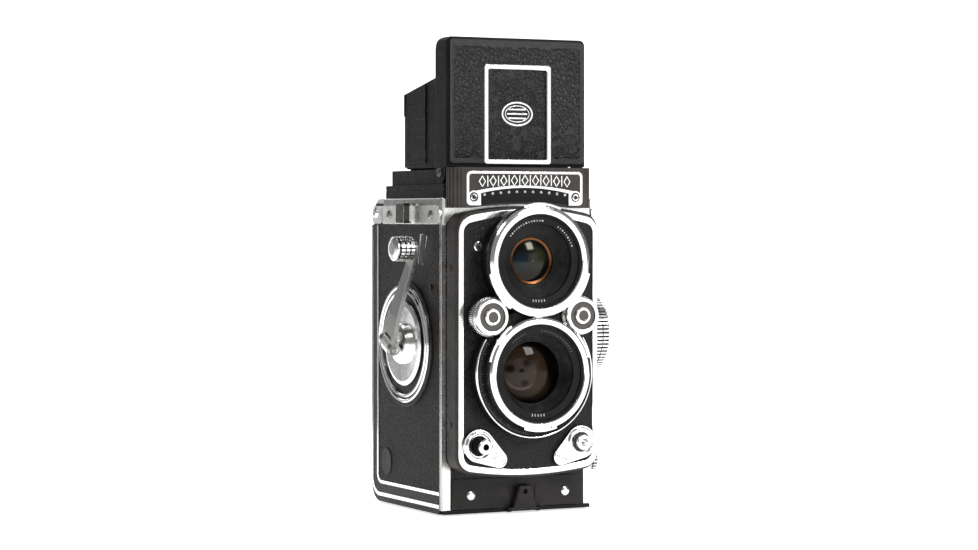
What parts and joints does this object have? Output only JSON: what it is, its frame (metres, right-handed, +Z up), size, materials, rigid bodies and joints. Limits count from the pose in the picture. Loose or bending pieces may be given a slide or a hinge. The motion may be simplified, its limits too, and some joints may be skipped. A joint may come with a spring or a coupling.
{
  "type": "twin lens reflex camera",
  "caption": "Twin lens reflex roll film camera with its viewing hood open, winding crank, focusing standard and hinged back.",
  "frame": {"origin": "centre of the tripod socket, in the plane of the base", "axes": "+Z up through the hood, lenses look along -Y, winding crank on the -X side, focusing knob on the +X side"},
  "size_m": [0.1058, 0.1003, 0.2166],
  "materials": {
    "black_paint": "satin",
    "chrome": "polished",
    "satin_chrome": "satin",
    "leather": "grained",
    "glass": "clear",
    "ground_glass": "matte",
    "mirror": "polished",
    "anodised": "matte",
    "aluminium": "satin",
    "steel": "brushed",
    "spool_plastic": "matte",
    "window": "gloss",
    "brass": "satin",
    "casting": "matte",
    "black_casting": "satin",
    "dial": "matte"
  },
  "bodies": {
    "camera_body": {"body_casting": "casting", "body_trims": "satin_chrome", "front_plate": "black_casting", "side_covers": "black_casting", "side_leather": "leather", "strap_lugs": "satin_chrome", "slotted_screws": "chrome", "door_hinge_pins": "chrome", "lid_pivot_pins": "chrome", "nameplate_block": "casting", "nameplate_trim": "chrome", "meter_window": "window", "hood_base": "black_casting", "focusing_screen": "ground_glass", "mirror": "mirror", "film_gate": "black_casting", "crank_plate": "black_paint", "crank_trims": "chrome", "focus_scale_plate": "dial"},
    "front_standard": {"standard_housing": "black_casting", "standard_leather": "leather", "standard_trim": "chrome", "lens_barrels": "anodised", "lens_bezels": "chrome", "viewing_lens": "glass", "taking_lens": "glass", "shutter_unit": "steel", "scale_ring": "anodised", "sync_socket": "chrome"},
    "focus_drive": {"focus_knob": "aluminium"},
    "aperture_dial": {"aperture_wheel": "chrome"},
    "shutter_dial": {"shutter_wheel": "chrome"},
    "shutter_release": {"release_button": "anodised"},
    "release_lever": {"release_lock": "chrome"},
    "sync_lever": {"sync_lock": "chrome"},
    "hood_lid": {"hood_lid": "black_paint", "lid_leather": "leather", "lid_window_frame": "chrome"},
    "sports_finder": {"sports_flap": "black_paint"},
    "magnifier": {"magnifier_frame": "black_paint", "magnifier_lens": "glass"},
    "left_flap": {"side_flap_left": "black_paint"},
    "right_flap": {"side_flap_right": "black_paint"},
    "rear_flap": {"back_flap": "black_paint"},
    "back": {"back_door": "black_casting", "tripod_bush": "satin_chrome", "back_leather": "leather", "back_trims": "chrome"},
    "latch": {"back_latch": "satin_chrome"},
    "pressure": {"pressure_plate": "black_paint"},
    "crank": {"crank_hub": "chrome"},
    "crank_lever": {"crank_arm": "satin_chrome"},
    "crank_grip": {"crank_knob": "aluminium"},
    "idler": {"idler_gear": "brass"},
    "take_up": {"take_up_spool": "spool_plastic"},
    "supply": {"supply_spool": "spool_plastic"},
    "supply_pull": {"supply_knob": "aluminium"},
    "take_up_pull": {"take_up_knob": "aluminium"},
    "low_roller": {"lower_roller": "steel"},
    "high_roller": {"upper_roller": "steel"}
  },
  "joints": [
    {"name": "focus_travel", "type": "slide", "parent": "camera_body", "child": "front_standard", "axis": [0, -1, 0], "range_m": [0, 0.007]},
    {"name": "focus_knob_turn", "type": "hinge", "parent": "camera_body", "child": "focus_drive", "pos_m": [0.045, -0.0193, 0.0808], "axis": [1, 0, 0], "range_deg": [0, 270]},
    {"name": "aperture_dial_turn", "type": "hinge", "parent": "front_standard", "child": "aperture_dial", "pos_m": [-0.0229, -0.054, 0.0903], "axis": [0, -1, 0], "range_deg": [0, 150]},
    {"name": "shutter_dial_turn", "type": "hinge", "parent": "front_standard", "child": "shutter_dial", "pos_m": [0.0229, -0.054, 0.0903], "axis": [0, -1, 0], "range_deg": [0, 250]},
    {"name": "release_press", "type": "slide", "parent": "front_standard", "child": "shutter_release", "axis": [0, 1, 0], "range_m": [0, 0.0025], "stiffness_N_per_m": 300, "springref_m": -0.0008},
    {"name": "release_lock_turn", "type": "hinge", "parent": "front_standard", "child": "release_lever", "pos_m": [-0.026, -0.0505, 0.0324], "axis": [0, -1, 0], "range_deg": [0, 35]},
    {"name": "sync_lock_turn", "type": "hinge", "parent": "front_standard", "child": "sync_lever", "pos_m": [0.026, -0.0505, 0.0324], "axis": [0, 1, 0], "range_deg": [0, 35]},
    {"name": "lid_tilt", "type": "hinge", "parent": "camera_body", "child": "hood_lid", "pos_m": [0, -0.03, 0.1551], "axis": [-1, 0, 0], "range_deg": [0, 15]},
    {"name": "sports_finder_swing", "type": "hinge", "parent": "hood_lid", "child": "sports_finder", "pos_m": [0, -0.0356, 0.2014], "axis": [-1, 0, 0], "range_deg": [-90, 0]},
    {"name": "magnifier_swing", "type": "hinge", "parent": "sports_finder", "child": "magnifier", "pos_m": [0, -0.034, 0.199], "axis": [1, 0, 0], "range_deg": [0, 90]},
    {"name": "left_flap_fold", "type": "hinge", "parent": "camera_body", "child": "left_flap", "pos_m": [-0.0323, -0.005, 0.158], "axis": [0, 1, 0], "range_deg": [0, 90]},
    {"name": "right_flap_fold", "type": "hinge", "parent": "camera_body", "child": "right_flap", "pos_m": [0.0323, -0.005, 0.15975], "axis": [0, -1, 0], "range_deg": [0, 90]},
    {"name": "rear_flap_fold", "type": "hinge", "parent": "camera_body", "child": "rear_flap", "pos_m": [0, 0.0148, 0.1615], "axis": [1, 0, 0], "range_deg": [0, 90]},
    {"name": "back_swing", "type": "hinge", "parent": "camera_body", "child": "back", "pos_m": [0, 0.0318, 0.1371], "axis": [1, 0, 0], "range_deg": [0, 110]},
    {"name": "latch_swing", "type": "hinge", "parent": "back", "child": "latch", "pos_m": [0.002, -0.0404, 0.002], "axis": [1, 0, 0], "range_deg": [0, 60]},
    {"name": "pressure_give", "type": "slide", "parent": "back", "child": "pressure", "axis": [0, 1, 0], "range_m": [0, 0.001], "stiffness_N_per_m": 800, "springref_m": -0.001},
    {"name": "crank_turn", "type": "hinge", "parent": "camera_body", "child": "crank", "pos_m": [-0.038, 0, 0.0765], "axis": [1, 0, 0], "range_deg": [0, 360]},
    {"name": "crank_fold", "type": "hinge", "parent": "crank", "child": "crank_lever", "pos_m": [-0.0468, 0, 0.0765], "axis": [0, -0.8988, -0.4384], "range_deg": [0, 25]},
    {"name": "crank_knob_spin", "type": "hinge", "parent": "crank_lever", "child": "crank_grip", "pos_m": [-0.05, -0.02148, 0.12054], "axis": [1, 0, 0], "continuous": true},
    {"name": "idler_turn", "type": "hinge", "parent": "camera_body", "child": "idler", "pos_m": [-0.0355, 0.01086, 0.09637], "axis": [1, 0, 0], "range_deg": [-390, 0]},
    {"name": "take_up_turn", "type": "hinge", "parent": "camera_body", "child": "take_up", "pos_m": [0, 0.0205, 0.114], "axis": [1, 0, 0], "range_deg": [0, 470]},
    {"name": "supply_turn", "type": "hinge", "parent": "camera_body", "child": "supply", "pos_m": [0, -0.02, 0.0207], "axis": [1, 0, 0], "continuous": true},
    {"name": "supply_knob_pull", "type": "slide", "parent": "camera_body", "child": "supply_pull", "axis": [1, 0, 0], "range_m": [0, 0.006], "stiffness_N_per_m": 200, "springref_m": -0.002},
    {"name": "take_up_knob_pull", "type": "slide", "parent": "camera_body", "child": "take_up_pull", "axis": [1, 0, 0], "range_m": [0, 0.006], "stiffness_N_per_m": 200, "springref_m": -0.002},
    {"name": "lower_roller_spin", "type": "hinge", "parent": "camera_body", "child": "low_roller", "pos_m": [0, 0.0255, 0.032], "axis": [1, 0, 0], "continuous": true},
    {"name": "upper_roller_spin", "type": "hinge", "parent": "camera_body", "child": "high_roller", "pos_m": [0, 0.026, 0.099], "axis": [1, 0, 0], "continuous": true}
  ],
  "couplings": [
    {"joint": "focus_knob_turn", "follows": "focus_travel", "rad_per_m": 673.2},
    {"joint": "idler_turn", "follows": "crank_turn", "ratio": -1.0691},
    {"joint": "take_up_turn", "follows": "crank_turn", "ratio": 1.2889}
  ]
}
